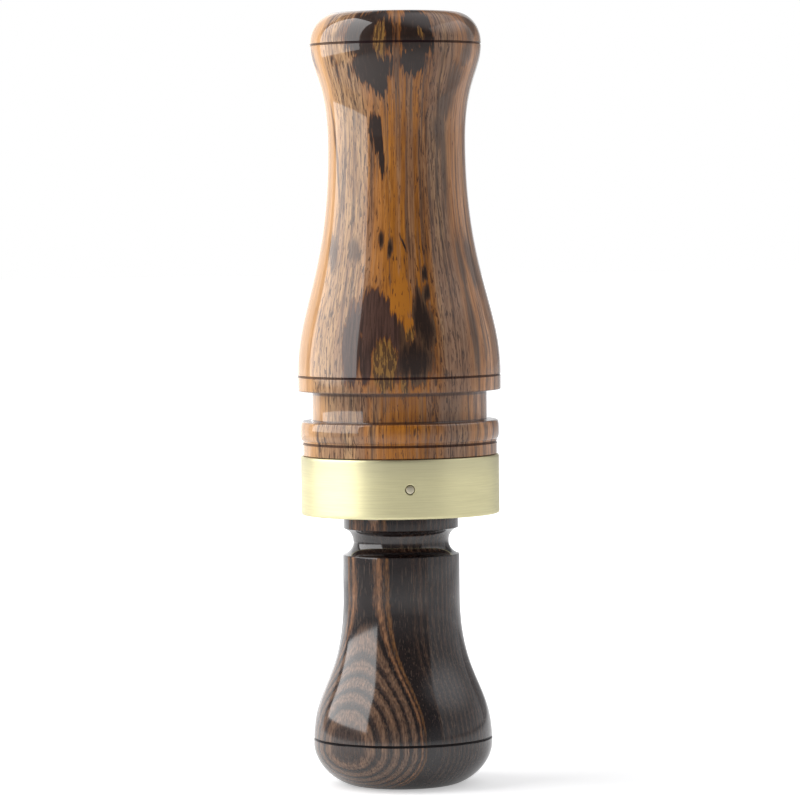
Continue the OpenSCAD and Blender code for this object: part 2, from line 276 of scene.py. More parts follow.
PIN_R = 0.72
PIN_HOLE_R = 0.88
DRILL_REACH = 3
# The pin's crown, as steps of (inwards, outwards)
PIN_CROWN = (0.06, 0.05), (0.12, 0.03), (0.2, 0.02)


def cross_bar(name, radius, back, front, sides):
    """A round bar at the pin's height, from back to front towards -y; its mesh stays open"""
    bpy.ops.object.select_all(action="DESELECT")
    bpy.ops.mesh.primitive_cylinder_add(
        vertices=sides, radius=radius * MM, depth=(front - back) * MM,
        location=(0, -(front + back) / 2 * MM, PIN_AT * MM), rotation=(math.pi / 2, 0, 0))
    return begin(name)


def make_band():
    """A thin bevelled ring, drilled for the pin at the front"""
    wall, bevel, rows = 1.2, 0.25, 28
    inner_r, flat_r, corner = BAND_R - wall, BAND_R - bevel, bevel * 0.3
    side_h = BAND_TOP - BAND_LOW - 2 * bevel
    outline = ([(inner_r, BAND_LOW), (flat_r, BAND_LOW), (BAND_R - corner, BAND_LOW + corner)]
               + [(BAND_R, BAND_LOW + bevel + side_h * i / rows) for i in range(rows + 1)]
               + [(BAND_R - corner, BAND_TOP - corner), (flat_r, BAND_TOP), (inner_r, BAND_TOP)])
    band = turned("brass_band", outline, TURNS * 2)
    drill = end(cross_bar("drill", PIN_HOLE_R, BAND_R - DRILL_REACH, BAND_R + DRILL_REACH, 40))
    bpy.context.view_layer.objects.active = band
    hole = band.modifiers.new("pin hole", "BOOLEAN")
    hole.object = drill
    hole.solver = "EXACT"
    bpy.ops.object.modifier_apply(modifier=hole.name)
    bpy.data.objects.remove(drill)
    return band


def make_pin():
    """A short bar whose seen end has a low crown"""
    front, back = (-place for place in span("band_pin", 1))
    pin = cross_bar("brass_pin", PIN_R, back, front, 48)
    bpy.ops.mesh.select_all(action="DESELECT")
    bpy.ops.object.mode_set(mode="OBJECT")
    for face in pin.data.polygons:
        face.select = face.normal.y < -0.9
    bpy.ops.object.mode_set(mode="EDIT")
    for inwards, outwards in PIN_CROWN:
        bpy.ops.mesh.inset(thickness=inwards * MM)
        bpy.ops.transform.translate(value=(0, -outwards * MM, 0))
    return end(pin, math.radians(60))


# Reeds, cork and tone board

REED_CLIP = 2.2
REED_COLUMNS = 40
REED_ROWS = 120
DIMPLE_SET = 4.5
DIMPLE_REACHES = 0.5, 0.42, 0.33, 0.2
DIMPLE_STEP = 0.018
NOTCH_SLOPE = 0.638
CORK_LEAN = 0.2475
CORK_EASE = 0.12
BOARD_EASE = 0.15


def cut(place, outwards, fill=False):
    """Cuts the open mesh with a plane and clears what lies outwards of it"""
    bpy.ops.mesh.select_all(action="SELECT")
    bpy.ops.mesh.bisect(
        plane_co=[value * MM for value in place], plane_no=Vector(outwards).normalized(),
        clear_outer=True, use_fill=fill)


def make_reed(node, name, dimpled):
    """A strip of film with clipped corners, stamped with a small dimple if it is the upper one"""
    half_w = span(node, 0)[1]
    front = span(node, 1)[0]
    low, high = span(node, 2)
    bpy.ops.object.select_all(action="DESELECT")
    bpy.ops.mesh.primitive_grid_add(
        x_subdivisions=REED_COLUMNS, y_subdivisions=REED_ROWS, size=MM,
        location=(0, front * MM, (low + high) / 2 * MM), rotation=(math.pi / 2, 0, 0))
    bpy.context.object.scale = (2 * half_w, high - low, 1)
    reed = begin(name)
    for side in (-1, 1):
        cut((side * (half_w - REED_CLIP), 0, high), (side, 0, 1))
    bpy.ops.mesh.select_all(action="SELECT")
    bpy.ops.mesh.extrude_region_move(TRANSFORM_OT_translate={"value": (0, REED_T * MM, 0)})
    end(reed)
    if dimpled:
        centre = Vector((0, high - DIMPLE_SET)) * MM
        for reach in DIMPLE_REACHES:
            for point in reed.data.vertices:
                point.select = (point.co.xz - centre).length < reach * MM
            bpy.ops.object.mode_set(mode="EDIT")
            bpy.ops.transform.translate(value=(0, DIMPLE_STEP * MM, 0))
            bpy.ops.object.mode_set(mode="OBJECT")
    return reed


def make_wedge():
    """The cork: part of a round bar, cut flat on the reeds and slanted at both ends"""
    front, back = (-place for place in span("reed_wedge", 1))
    low, high = span("reed_wedge", 2)
    bpy.ops.object.select_all(action="DESELECT")
    bpy.ops.mesh.primitive_cylinder_add(
        vertices=120, radius=front * MM, depth=2 * (high - low) * MM,
        location=(0, 0, (low + high) / 2 * MM))
    cork = begin("cork_wedge")
    cut((0, -back, low), (0, 1, 0), True)
    cut((0, -back, low), (0, -NOTCH_SLOPE, -1), True)
    cut((0, -back, high), (0, -CORK_LEAN, 1), True)
    bpy.ops.mesh.select_all(action="DESELECT")
    bpy.ops.mesh.select_mode(type="EDGE")
    bpy.ops.mesh.edges_select_sharp(sharpness=math.radians(40))
    bpy.ops.mesh.bevel(offset=CORK_EASE * MM, segments=3, affect="EDGES")
    return end(cork)


def make_tone_board():
    """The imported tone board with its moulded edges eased"""
    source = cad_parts["tone_board"]
    board = bpy.data.objects.new("moulded_tone_board", source.data.copy())
    board.matrix_world = source.matrix_world
    bpy.context.scene.collection.objects.link(board)
    bpy.ops.object.select_all(action="DESELECT")
    board.select_set(True)
    bpy.context.view_layer.objects.active = board
    board = begin("moulded_tone_board")
    bpy.ops.mesh.remove_doubles(threshold=WELD)
    bpy.ops.mesh.dissolve_limited(angle_limit=math.radians(0.5))
    bpy.ops.object.mode_set(mode="OBJECT")
    edge = board.modifiers.new("eased edges", "BEVEL")
    edge.width = BOARD_EASE * MM
    edge.segments = 3
    edge.angle_limit = math.radians(35)
    bpy.ops.object.modifier_apply(modifier=edge.name)
    bpy.ops.object.mode_set(mode="EDIT")
    return end(board)


# Shader maths

class Socket:
    """An output of a node that takes part in Python sums: each sum adds a Math node"""

    def __init__(self, finish, output):
        self.finish = finish
        self.output = output

    def maths(self, operation, *values):
        return self.finish.node("Math", {"operation": operation}, dict(enumerate(values)))

    def __add__(self, other):
        return self.maths("ADD", self, other)

    def __radd__(self, other):
        return self.maths("ADD", other, self)

    def __sub__(self, other):
        return self.maths("SUBTRACT", self, other)

    def __rsub__(self, other):
        return self.maths("SUBTRACT", other, self)

    def __mul__(self, other):
        return self.maths("MULTIPLY", self, other)

    def __rmul__(self, other):
        return self.maths("MULTIPLY", other, self)

    def __truediv__(self, other):
        return self.maths("DIVIDE", self, other)

    def __rtruediv__(self, other):
        return self.maths("DIVIDE", other, self)

    def larger(self, other):
        return self.maths("MAXIMUM", self, other)

    def smaller(self, other):
        return self.maths("MINIMUM", self, other)

    def wave(self, length):
        """A wave between 0 and 1 over the value"""
        turn = self * (2 * math.pi / length)
        return turn.maths("SINE", turn) * 0.5 + 0.5

    def above(self, start, stop):
        """0 below start and 1 above stop, smoothly; start may be the larger one"""
        return self.finish.node("MapRange", {"interpolation_type": "SMOOTHSTEP"},
                                {"Value": self, "From Min": start, "From Max": stop})

    def near(self, middle, reach, fade):
        """1 within reach of the middle value, and 0 where it is off by more than reach and fade"""
        off = self - middle
        return off.maths("ABSOLUTE", off).above(reach + fade, reach)


# The names of a Mix node's sockets repeat, so its colours are found by number
MIX_FIRST, MIX_SECOND, MIX_RESULT = 6, 7, 2


class Finish:
    """A material, or the world or a lamp, and its nodes"""

    def __init__(self, name, owner=None):
        self.owner = owner or bpy.data.materials.new(name)
        self.owner.use_nodes = True
        self.tree = self.owner.node_tree
        self.tree.nodes.clear()

    def node(self, kind, settings=None, values=None, output=0):
        """Adds a node, sets it up, fills or links its sockets and gives one output, if it has any"""
        made = self.tree.nodes.new("ShaderNode" + kind)
        for key, value in (settings or {}).items():
            if key == "stops":
                ramp = made.color_ramp
                while len(ramp.elements) < len(value):
                    ramp.elements.new(1)
                for element, (place, colour) in zip(ramp.elements, value):
                    element.position = place
                    element.color = (*colour, 1)
            else:
                setattr(made, key, value)
        for key, value in (values or {}).items():
            socket = made.inputs[key]
            if isinstance(value, Socket):
                self.tree.links.new(value.output, socket)
            elif isinstance(value, tuple) and socket.type == "RGBA":
                socket.default_value = (*value, 1)
            else:
                socket.default_value = value
        return Socket(self, made.outputs[output]) if len(made.outputs) else None

    def vectors(self, operation, *values, output="Vector"):
        """A sum of vectors; one that ends in a number gives it as Value"""
        return self.node("VectorMath", {"operation": operation}, dict(enumerate(values)), output)

    def axis(self, at, name):
        return self.node("SeparateXYZ", values={"Vector": at}, output=name)

    def place(self, turn=0.0):
        """Object coordinates in mm, turned round z"""
        at = self.node("TexCoord", output="Object")
        return self.node("Mapping", values={
            "Vector": at, "Rotation": (0, 0, turn), "Scale": (1 / MM, 1 / MM, 1 / MM)})

    def unrolled(self, at):
        """The place pulled to one radius, so that streaks run along the turned shape"""
        flat = self.vectors("MULTIPLY", at, (1, 1, 0))
        pull = UNROLLED_R / self.vectors("LENGTH", flat, output="Value")
        pulls = self.node("CombineXYZ", values={"X": pull, "Y": pull, "Z": 1.0})
        return self.vectors("MULTIPLY", at, pulls)

    def noise(self, at, scales, detail=2.0, roughness=0.5, output="Fac"):
        """Noise from 0 to 1 over a place stretched by scales, in lumps per mm"""
        return self.node("TexNoise", values={
            "Vector": self.vectors("MULTIPLY", at, scales), "Scale": 1.0, "Detail": detail,
            "Roughness": roughness}, output=output)

    def shaken(self, at, scales, amounts, detail=2.0):
        """The place, moved by noise by up to half the amounts"""
        drift = self.noise(at, scales, detail, output="Color")
        centred = self.vectors("SUBTRACT", drift, (0.5, 0.5, 0.5))
        return self.vectors("MULTIPLY_ADD", centred, amounts, at)

    def ramp(self, value, low, high, stops):
        """The colour of a value between low and high, from stops of (value, colour)"""
        places = [((place - low) / (high - low), colour) for place, colour in stops]
        return self.node("ValToRGB", {"stops": places}, {"Fac": (value - low) / (high - low)})

    def mix(self, factor, first, second, blend="MIX"):
        """A colour between two colours"""
        return self.node("Mix", {"data_type": "RGBA", "blend_type": blend, "clamp_factor": True},
                         {"Factor": factor, MIX_FIRST: first, MIX_SECOND: second}, MIX_RESULT)

    def tinted(self, colour, *tints):
        """The colour multiplied by each tint, given as (share, tint)"""
        for share, tint in tints:
            colour = self.mix(share, colour, tint, "MULTIPLY")
        return colour

    def bump(self, height, strength, distance):
        return self.node("Bump", values={
            "Height": height, "Strength": strength, "Distance": distance * MM})

    def surface(self, **values):
        """Closes the material with a Principled shader"""
        names = {key.replace("_", " "): value for key, value in values.items()}
        self.close(self.node("BsdfPrincipled", values=names))
        return self.owner

    def close(self, shader, kind="OutputMaterial"):
        self.node(kind, values={"Surface": shader})


# Wood

UNROLLED_R = 14.0
FIGURE_FAR = 5.0
FIGURE_STEP = 0.2

PEACH = (0.63, 0.33, 0.13)
CREAM = (0.53, 0.315, 0.155)
STRAW = (0.45, 0.25, 0.11)
TAN = (0.50, 0.21, 0.064)
ROSE = (0.65, 0.31, 0.135)
OCHRE = (0.48, 0.17, 0.016)
GOLD = (0.30, 0.15, 0.036)
RUST = (0.225, 0.074, 0.016)
GREY = (0.35, 0.195, 0.11)
SMOKE = (0.13, 0.081, 0.055)
UMBER = (0.09, 0.041, 0.02)
BLACK = (0.024, 0.0105, 0.006)
COFFEE = (0.15, 0.08, 0.038)
PLUM = (0.095, 0.045, 0.032)
SOOT = (0.038, 0.017, 0.012)
INK = (0.05, 0.022, 0.012)
SHADE = (0.055, 0.022, 0.014)
# Burned lines, and painted shade in the seam above the band
BURN_AND_SEAM_SHADE = (0.022, 0.008, 0.011)
DARK_GRAIN = (0.34, 0.28, 0.25)
PALE_GRAIN = (1.28, 1.34, 1.42)
DARK_PORES = (0.40, 0.34, 0.32)

# Ground colours of the barrel from left to right, as (place from -1 to 1 across it, colour); the peach
# and cream at the left edge are partly painted light and painted reflection from the left window
GROUND_COLOURS = [
    (-1, PEACH), (-0.86, PEACH), (-0.76, CREAM), (-0.5, CREAM), (-0.35, TAN), (-0.1, OCHRE),
    (0.35, OCHRE), (0.48, GREY), (0.66, GREY), (0.76, TAN), (0.9, ROSE), (1, GREY)]

# Figure on the side that faces the camera, as (across, up, half width, half height, lean in degrees)
LOBES = [
    (-4, 131.5, 4, 4.25, -5), (-3.75, 126, 3.25, 3, -5), (-3, 123.5, 1.5, 2.25, -10),
    (3, 132, 2, 4, 10), (4.75, 131.5, 1.25, 4, 0), (3, 127, 2.25, 2.5, 5),
    (-3.75, 82.5, 2, 5, 0), (-1, 81.5, 1.25, 4.75, -15), (-2, 79.25, 3.5, 3.25, -5),
    (3, 83, 1, 5, 0), (4, 80.5, 1.25, 4.5, 0), (1.75, 75.5, 3.25, 4.25, 0),
    (-4.75, 76, 1, 4.5, -5), (-6.5, 78, 1.25, 6.75, 0),
    (-4, 114.5, 1, 3.5, -5), (-3, 110.5, 0.5, 4.5, -5)]
WINDOWS = [
    (-2.5, 130.5, 1.25, 3, 0), (4.25, 131.25, 0.5, 1, 0), (0.5, 86, 1.75, 4.25, 0),
    (1.5, 80.75, 0.75, 2.75, -5), (-2, 74.5, 1.75, 4.5, 0), (0.75, 71.25, 0.5, 1.75, -10)]
MARKS = [
    (6, 129.5, 0.25, 2.25, 0), (-13.5, 127.75, 0.25, 2.5, -5), (-10.5, 127, 0.25, 1.25, 10),
    (-10, 125, 0.25, 2, 5), (-8, 125, 0.25, 1.25, 5), (-5, 114, 0.25, 2.5, -5),
    (-3, 96.25, 0.5, 1.5, 0), (-1.25, 94.5, 0.5, 1.5, 5), (1.25, 95.25, 0.25, 1.5, -20),
    (4.5, 90.25, 0.5, 1.5, 10), (4.5, 86.75, 0.5, 2, 5)]
BROWN = [
    (12.5, 132.5, 0.75, 3.25, 15), (11.5, 128.25, 0.75, 2.5, 5), (10.5, 123.5, 1.25, 3.5, 5),
    (9.5, 119.5, 1.5, 3, 15), (8.5, 115, 1.25, 3, -5), (9.5, 108.5, 0.5, 6.5, 0),
    (6, 115.5, 0.25, 4, 0), (10.75, 92, 0.5, 5, 0), (10.75, 81, 0.5, 8.5, 0),
    (12.5, 92, 0.75, 4.5, -5), (-11.25, 93.75, 0.75, 3.25, -10), (-7.5, 94.5, 1, 2.25, -5),
    (-8.25, 132.75, 1, 2.5, 30), (-12, 111, 0.25, 8.5, -5)]


def spots_within(finish, at, spots):
    """How far a place is from the nearest spot, where 1 is its edge"""
    nearest = None
    for across, up, half_w, half_h, lean in spots:
        local = finish.node("Mapping", {"vector_type": "TEXTURE"}, {
            "Vector": at, "Location": (across, -UNROLLED_R, up), "Rotation": (0, math.radians(lean), 0),
            "Scale": (half_w, UNROLLED_R, half_h)})
        far = finish.vectors("LENGTH", local, output="Value")
        nearest = far if nearest is None else nearest.smaller(far)
    return nearest


def nearest_spot(across, up, spots):
    """How far each point is from the nearest spot, where 1 is its edge"""
    nearest = numpy.full(len(across), FIGURE_FAR)
    for middle, height, half_w, half_h, lean in spots:
        sine, cosine = math.sin(math.radians(lean)), math.cos(math.radians(lean))
        over, along = across - middle, up - height
        nearest = numpy.minimum(nearest, numpy.hypot(
            (over * cosine - along * sine) / half_w, (over * sine + along * cosine) / half_h))
    return nearest


def lay_figure(piece, name, spots):
    """Writes onto the piece's points the distance to the nearest spot and its slopes across and up"""
    count = len(piece.data.vertices)
    points = numpy.empty(count * 3)
    piece.data.vertices.foreach_get("co", points)
    x, y, z = points.reshape(count, 3).T / MM
    sine, cosine = math.sin(-CAMERA_SIDE), math.cos(-CAMERA_SIDE)
    x, y = x * cosine - y * sine, x * sine + y * cosine
    across = UNROLLED_R * x / numpy.hypot(x, y)
    here = nearest_spot(across, z, spots)
    step = FIGURE_STEP
    slope_x = nearest_spot(across + step, z, spots) - nearest_spot(across - step, z, spots)
    slope_z = nearest_spot(across, z + step, spots) - nearest_spot(across, z - step, spots)
    here[y > 0] = FIGURE_FAR
    layer = piece.data.attributes.new(name, "FLOAT_VECTOR", "POINT")
    values = numpy.stack([here, slope_x / (2 * step), slope_z / (2 * step)], axis=1)
    layer.data.foreach_set("vector", values.astype("f").ravel())


def laid_figure(finish, name, aside):
    """The distance to the nearest spot of a figure laid on the piece, looked up a little aside"""
    layer = finish.node("Attribute", {"attribute_name": name}, output="Vector")
    return finish.vectors("DOT_PRODUCT", layer, aside, output="Value")


def barrel_ground(finish, across, torn, lively):
    """The ground colours under streaks along the grain, in bands that change slowly upwards"""
    colour = finish.ramp(across, -1, 1, GROUND_COLOURS)
    wide = finish.noise(torn, (0.55, 0.55, 0.02), 2)
    narrow = finish.noise(torn, (1.3, 1.3, 0.035), 2)
    colour = finish.mix(wide.above(0.5, 0.62) * 0.7 * lively, colour, GREY)
    colour = finish.mix(wide.above(0.46, 0.36) * 0.5, colour, STRAW)
    return finish.mix(narrow.above(0.55, 0.66) * 0.8 * lively, colour, SMOKE)


def figured_wood():
    finish = Finish("figured golden wood")
    at = finish.place(-CAMERA_SIDE)
    skin = finish.unrolled(at)
    up = finish.axis(at, "Z")
    front = finish.axis(skin, "Y").above(3, -0.5)
    behind = 1 - front
    wavy = finish.shaken(skin, (0.12, 0.12, 0.07), (0.9, 0.9, 1.5))
    torn = finish.shaken(wavy, (2.3, 2.3, 0.16), (0.5, 0.5, 5.5), 3)
    nicked = finish.shaken(wavy, (1.6, 1.6, 0.5), (0.3, 0.3, 1.2), 3)
    torn_x, torn_up = finish.axis(torn, "X"), finish.axis(torn, "Z")
    aside = finish.node("CombineXYZ", values={
        "X": 1.0, "Y": torn_x - finish.axis(skin, "X"), "Z": torn_up - up})
    grain = finish.noise(skin, (2.4, 2.4, 0.11), 4, 0.62)
    fine = finish.noise(skin, (5.5, 5.5, 0.3), 2, 0.6)
    cloud = finish.noise(skin, (0.22, 0.22, 0.09), 3)
    dash = finish.noise(nicked, (4.2, 4.2, 0.5))
    ragged = (grain - 0.5) * 1.3 + (fine - 0.5) * 0.6

    # Ground colours under grain and pores, calmer on the pale strip at the left edge; that strip's
    # lighter colour is partly painted light and painted reflection from the left window
    drift = finish.noise(skin, (0.16, 0.16, 0.03)) - 0.5
    across = torn_x / UNROLLED_R + drift * behind * 0.9
    lively = 1 - 0.85 * across.above(-0.82, -0.87) * front
    pale = across.near(-0.62, 0.24, 0.08).larger(across.near(0.5, 0.16, 0.06))
    colour = barrel_ground(finish, across, torn, lively)
    colour = finish.mix(cloud.above(0.35, 0.68) * 0.3 * lively, colour, RUST)
    colour = finish.tinted(
        colour, (grain.above(0.49, 0.66) * 0.55 * lively, DARK_GRAIN),
        (grain.above(0.48, 0.34) * 0.8, PALE_GRAIN),
        (fine.above(0.5, 0.64) * (0.35 + 0.4 * pale) * lively, DARK_PORES))

    # Brown figure, and smears of it behind
    brown = (laid_figure(finish, "brown figure", aside) + ragged).above(1.35, 0.6)
    smears = finish.noise(torn, (0.55, 0.55, 0.035)).above(0.56, 0.66) * behind
    smoky = finish.mix(grain.above(0.4, 0.6), SMOKE, UMBER)
    colour = finish.mix(brown.larger(smears) * 0.85, colour, smoky)

    # Black lobes and marks round golden windows; the tongue between two lobes is orange
    lobes = laid_figure(finish, "black lobes", aside) + ragged
    lobes_behind = finish.noise(torn, (0.12, 0.12, 0.05)).above(0.53, 0.60) * behind * 1.4
    windows = (laid_figure(finish, "golden windows", aside) + ragged).above(1.15, 0.8)
    marks = spots_within(finish, nicked, MARKS) + ragged * 1.6
    dark = lobes.above(1.22, 0.86).larger(lobes_behind) * (1 - windows)
    dark = dark.larger(marks.above(1.35, 0.6))
    tongue = torn_up.above(79.5, 81.5) * torn_up.above(98, 94)
    colour = finish.mix(windows, colour, finish.mix(tongue, GOLD, OCHRE))
    colour = finish.mix(dark.above(0.0, 0.4), colour, RUST)
    near_lip = torn_up.above(100, 108)
    pit = (lobes - near_lip * 0.7).above(0.95, 0.45).larger(marks.above(1.0, 0.4))
    black = finish.mix(pit, finish.mix(grain.above(0.42, 0.6), COFFEE, UMBER), BLACK)
    low_left = across.above(0.04, -0.03) * torn_up.above(92, 89)
    black = finish.mix(low_left, black, finish.mix(grain.above(0.38, 0.62), PLUM, SOOT))
    colour = finish.mix(dark.above(0.2, 0.75), colour, black)

    # Short dark strokes, painted shade in the groove's corners, and the burned lines with painted shade
    # in the seam above the band
    calm = across.above(0.62, 0.72) * 0.05
    strokes = (dash + 0.05 * pale + 0.16 * windows * (1 - tongue) - calm).above(0.61, 0.68) * lively
    colour = finish.mix(strokes * 0.8, colour, INK)
    # Painted shade: dark lines just under the skirt's edge and along the groove's floor above the bead
    shade = up.near(GROOVE_TOP - 0.22, 0.2, 0.35).larger(up.near(GROOVE_LOW + 0.08, 0.12, 0.18))
    colour = finish.mix(shade * 0.75, colour, SHADE)
    burnt = up.near(COLLAR_SCORE, 0.16, 0.14).larger(up.near(SKIRT_SCORE, 0.14, 0.14))
    burnt = burnt.larger(up.near(LIP_SCORE, 0.14, 0.14))
    # Painted shade: the wood in the seam just above the band's top edge is darkened like a burned line
    burnt = burnt.larger(up.above(BAND_TOP + 0.24, BAND_TOP + 0.12))
    colour = finish.mix(burnt * (1 - 0.5 * grain), colour, BURN_AND_SEAM_SHADE)
    relief = 0.4 - grain * 0.4 - strokes * 0.6
    return finish.surface(
        Base_Color=colour, Roughness=0.34 + 0.1 * grain, Normal=finish.bump(relief, 0.3, 0.05),
        Specular_IOR_Level=0.12, Coat_Weight=1 - 0.8 * burnt, Coat_Roughness=0.045, Coat_IOR=1.53)


# The insert's dark wood
HEART_SIDE = math.radians(39)
COCOA = (0.015, 0.0075, 0.0065)
SLATE = (0.012, 0.0085, 0.0105)
WALNUT = (0.05, 0.029, 0.022)
TOFFEE = (0.18, 0.103, 0.064)
AMBER = (0.22, 0.1, 0.034)
CARAMEL = (0.30, 0.145, 0.07)
OPEN_PORE = (0.16, 0.11, 0.08)
DARK_BURN_AND_SHADE = (0.007, 0.0035, 0.004)
DARK_VEIN = (0.40, 0.36, 0.34)
DARK_FIBRE = (0.40, 0.36, 0.36)
PALE_FIBRE = (1.4, 1.35, 1.3)
DARK_FLECK = (0.3, 0.27, 0.27)
PALE_FLECK = (1.6, 1.5, 1.3)
VEIN_GAP = 0.31
YEAR_GAP = 1.05

# Growth rings of the insert, as (mm from the call's axis, colour) between these two depths: a bright
# and a pale one, then one like another for each year
RINGS_LOW, RINGS_HIGH = 8, 16
YEARS_LOW, YEARS = 10.4, 5
RINGS = [
    (RINGS_LOW, COCOA), (9.1, COCOA), (9.35, AMBER), (9.6, COCOA), (9.9, CARAMEL), (10.15, COCOA)]
for year in range(YEARS):
    inner = YEARS_LOW + year * YEAR_GAP
    RINGS += [(inner, COCOA), (inner + 0.25, TOFFEE), (inner + 0.6, TOFFEE), (inner + 0.85, WALNUT)]


def dark_wood():
    finish = Finish("dark ringed wood")
    at = finish.place(-CAMERA_SIDE)
    heart = finish.place(-CAMERA_SIDE + HEART_SIDE)
    wavy = finish.shaken(heart, (0.12, 0.12, 0.05), (0.4, 0.3, 0))
    loose = finish.shaken(wavy, (2.6, 2.6, 0.6), (0.4, 0.42, 0), 3)
    grain = finish.noise(at, (3.2, 3.2, 0.13), 3, 0.6)
    fleck = finish.noise(at, (4.2, 4.2, 0.9), 2, 0.6)
    pore = finish.noise(at, (4.2, 4.2, 0.35), 1).above(0.60, 0.68)
    depth = -1 * finish.axis(loose, "Y")
    right = finish.axis(at, "X").above(2.5, 6.5)

    plain = finish.mix(right, COCOA, SLATE)
    plain = finish.mix(depth.wave(YEAR_GAP) * depth.above(8, 6) * 0.3, plain, TOFFEE)
    rings = finish.ramp(depth, RINGS_LOW, RINGS_HIGH, RINGS)
    colour = finish.mix(depth.above(8.1, 8.3) * (1 - right), plain, rings)
    colour = finish.tinted(
        colour, ((depth.wave(VEIN_GAP) + grain).above(1.1, 1.5) * 0.5, DARK_VEIN),
        (grain.above(0.46, 0.66) * 0.6, DARK_FIBRE), (grain.above(0.5, 0.36) * 0.6, PALE_FIBRE),
        (fleck.above(0.52, 0.62) * 0.6, DARK_FLECK), (fleck.above(0.46, 0.34) * 0.6, PALE_FLECK))
    colour = finish.mix(pore * 0.35, colour, OPEN_PORE)
    up = finish.axis(at, "Z")
    burnt = up.near(BELL_SCORE, 0.15, 0.14)
    # Painted shade: dark lines along the cove's top under the ring and along its bottom, in the burned
    # line's colour
    shade = up.near(SHOULDER - 2.85, 0.2, 0.35).larger(up.near(SHOULDER - 6.75, 0.3, 0.35))
    colour = finish.mix(burnt.larger(shade * 0.85), colour, DARK_BURN_AND_SHADE)
    relief = grain * 0.5 - pore * 0.5
    return finish.surface(
        Base_Color=colour, Roughness=0.42 - 0.1 * grain, Normal=finish.bump(relief, 0.4, 0.05),
        Specular_IOR_Level=0.05, Coat_Weight=1 - 0.8 * burnt, Coat_Roughness=0.1, Coat_IOR=1.7)


def brushed_brass():
    finish = Finish("brushed brass")
    at = finish.place()
    scratch = finish.noise(at, (0.12, 0.12, 4.5), 4, 0.65)
    colour = finish.mix(scratch.above(0.3, 0.7), (0.83, 0.77, 0.455), (0.92, 0.86, 0.53))
    # Painted shade: the band's colour dulls towards its top edge
    painted_shade_top = finish.axis(at, "Z").above(BAND_LOW + 5.5, BAND_TOP)
    shaded_brass = finish.mix(0.5, colour, (0.6, 0.56, 0.37))
    return finish.surface(
        Base_Color=finish.mix(painted_shade_top, colour, shaded_brass), Metallic=1.0, Roughness=0.4 + 0.06 * scratch,
        Normal=finish.bump(scratch, 0.35, 0.02), Anisotropic=0.5, Anisotropic_Rotation=0.25)


def sliced_cork():
    finish = Finish("sliced cork")
    at = finish.place()
    cell = finish.noise(at, (1.6, 1.6, 1.6), 4, 0.7)
    pit = finish.noise(at, (1.1, 1.1, 1.1)).above(0.6, 0.68)
    colour = finish.mix(cell.above(0.3, 0.7), (0.36, 0.2, 0.095), (0.56, 0.36, 0.19))
    colour = finish.mix(pit, colour, (0.12, 0.055, 0.025))
    return finish.surface(
        Base_Color=colour, Roughness=0.85 - 0.1 * cell, Normal=finish.bump(cell - pit, 0.6, 0.15))


def speckled(name, scales, detail, colours, roughness, relief, **more):
    """A material with fine lumps between two colours; its roughness is given as (least, spread) and
    its relief as (strength, distance)"""
    finish = Finish(name)
    lump = finish.noise(finish.place(), scales, detail)
    return finish.surface(
        Base_Color=finish.mix(lump, *colours), Roughness=roughness[0] + roughness[1] * lump,
        Normal=finish.bump(lump, *relief), **more)


# The pieces, dressed

def coat(piece, node, material):
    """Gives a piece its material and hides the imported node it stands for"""
    piece.data.materials.clear()
    piece.data.materials.append(material)
    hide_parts(node)


def dress(piece, body, node, material):
    """Coats a piece that moves with one body"""
    coat(piece, node, material)
    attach(piece, body)


def dress_reed(node, dimpled, material):
    """A reed, coated, that stands still under the cork; it is attached to no body"""
    reed = make_reed(node, node + "_film", dimpled)
    coat(reed, node, material)
    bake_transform(reed)


golden = figured_wood()
dark = dark_wood()
rubber = speckled("seal rubber", (9, 9, 9), 2, ((0.014, 0.014, 0.015), (0.022, 0.022, 0.023)),
                  (0.32, 0.15), (0.1, 0.02))
brass = speckled("pin brass", (6, 6, 6), 3, ((0.62, 0.56, 0.42), (0.78, 0.72, 0.55)),
                 (0.3, 0.15), (0.2, 0.03), Metallic=1.0)
plastic = speckled("black plastic", (7, 7, 7), 2, ((0.012, 0.012, 0.014), (0.02, 0.02, 0.023)),
                   (0.34, 0.12), (0.08, 0.03))
film = speckled("reed film", (0.8, 0.8, 0.2), 3, ((0.62, 0.66, 0.64), (0.75, 0.78, 0.75)),
                (0.22, 0.12), (0.05, 0.05))
barrel = make_barrel()
for layer, spots in (("black lobes", LOBES), ("golden windows", WINDOWS), ("brown figure", BROWN)):
    lay_figure(barrel, layer, spots)
dress(barrel, "barrel", "barrel", golden)
dress(make_band(), "barrel", "band", brushed_brass())
dress(make_pin(), "barrel", "band_pin", brass)
dress(make_insert(), "insert", "insert", dark)
dress(make_o_ring("lower_o_ring", "lower_seal"), "seal_rings", "lower_o_ring", rubber)
dress(make_o_ring("upper_o_ring", "upper_seal"), "seal_rings", "upper_o_ring", rubber)
dress(make_tone_board(), "insert", "tone_board", plastic)
dress(make_wedge(), "insert", "reed_wedge", sliced_cork())
dress_reed("lower_reed", False, film)
dress_reed("upper_reed", True, film)


# Floor, light and camera, in metres

def round_axis(side, far, height):
    """A place at an angle in degrees round the axis from the camera's side, positive to the right"""
    angle = CAMERA_SIDE + math.radians(side)
    return Vector((math.sin(angle) * far, -math.cos(angle) * far, height))


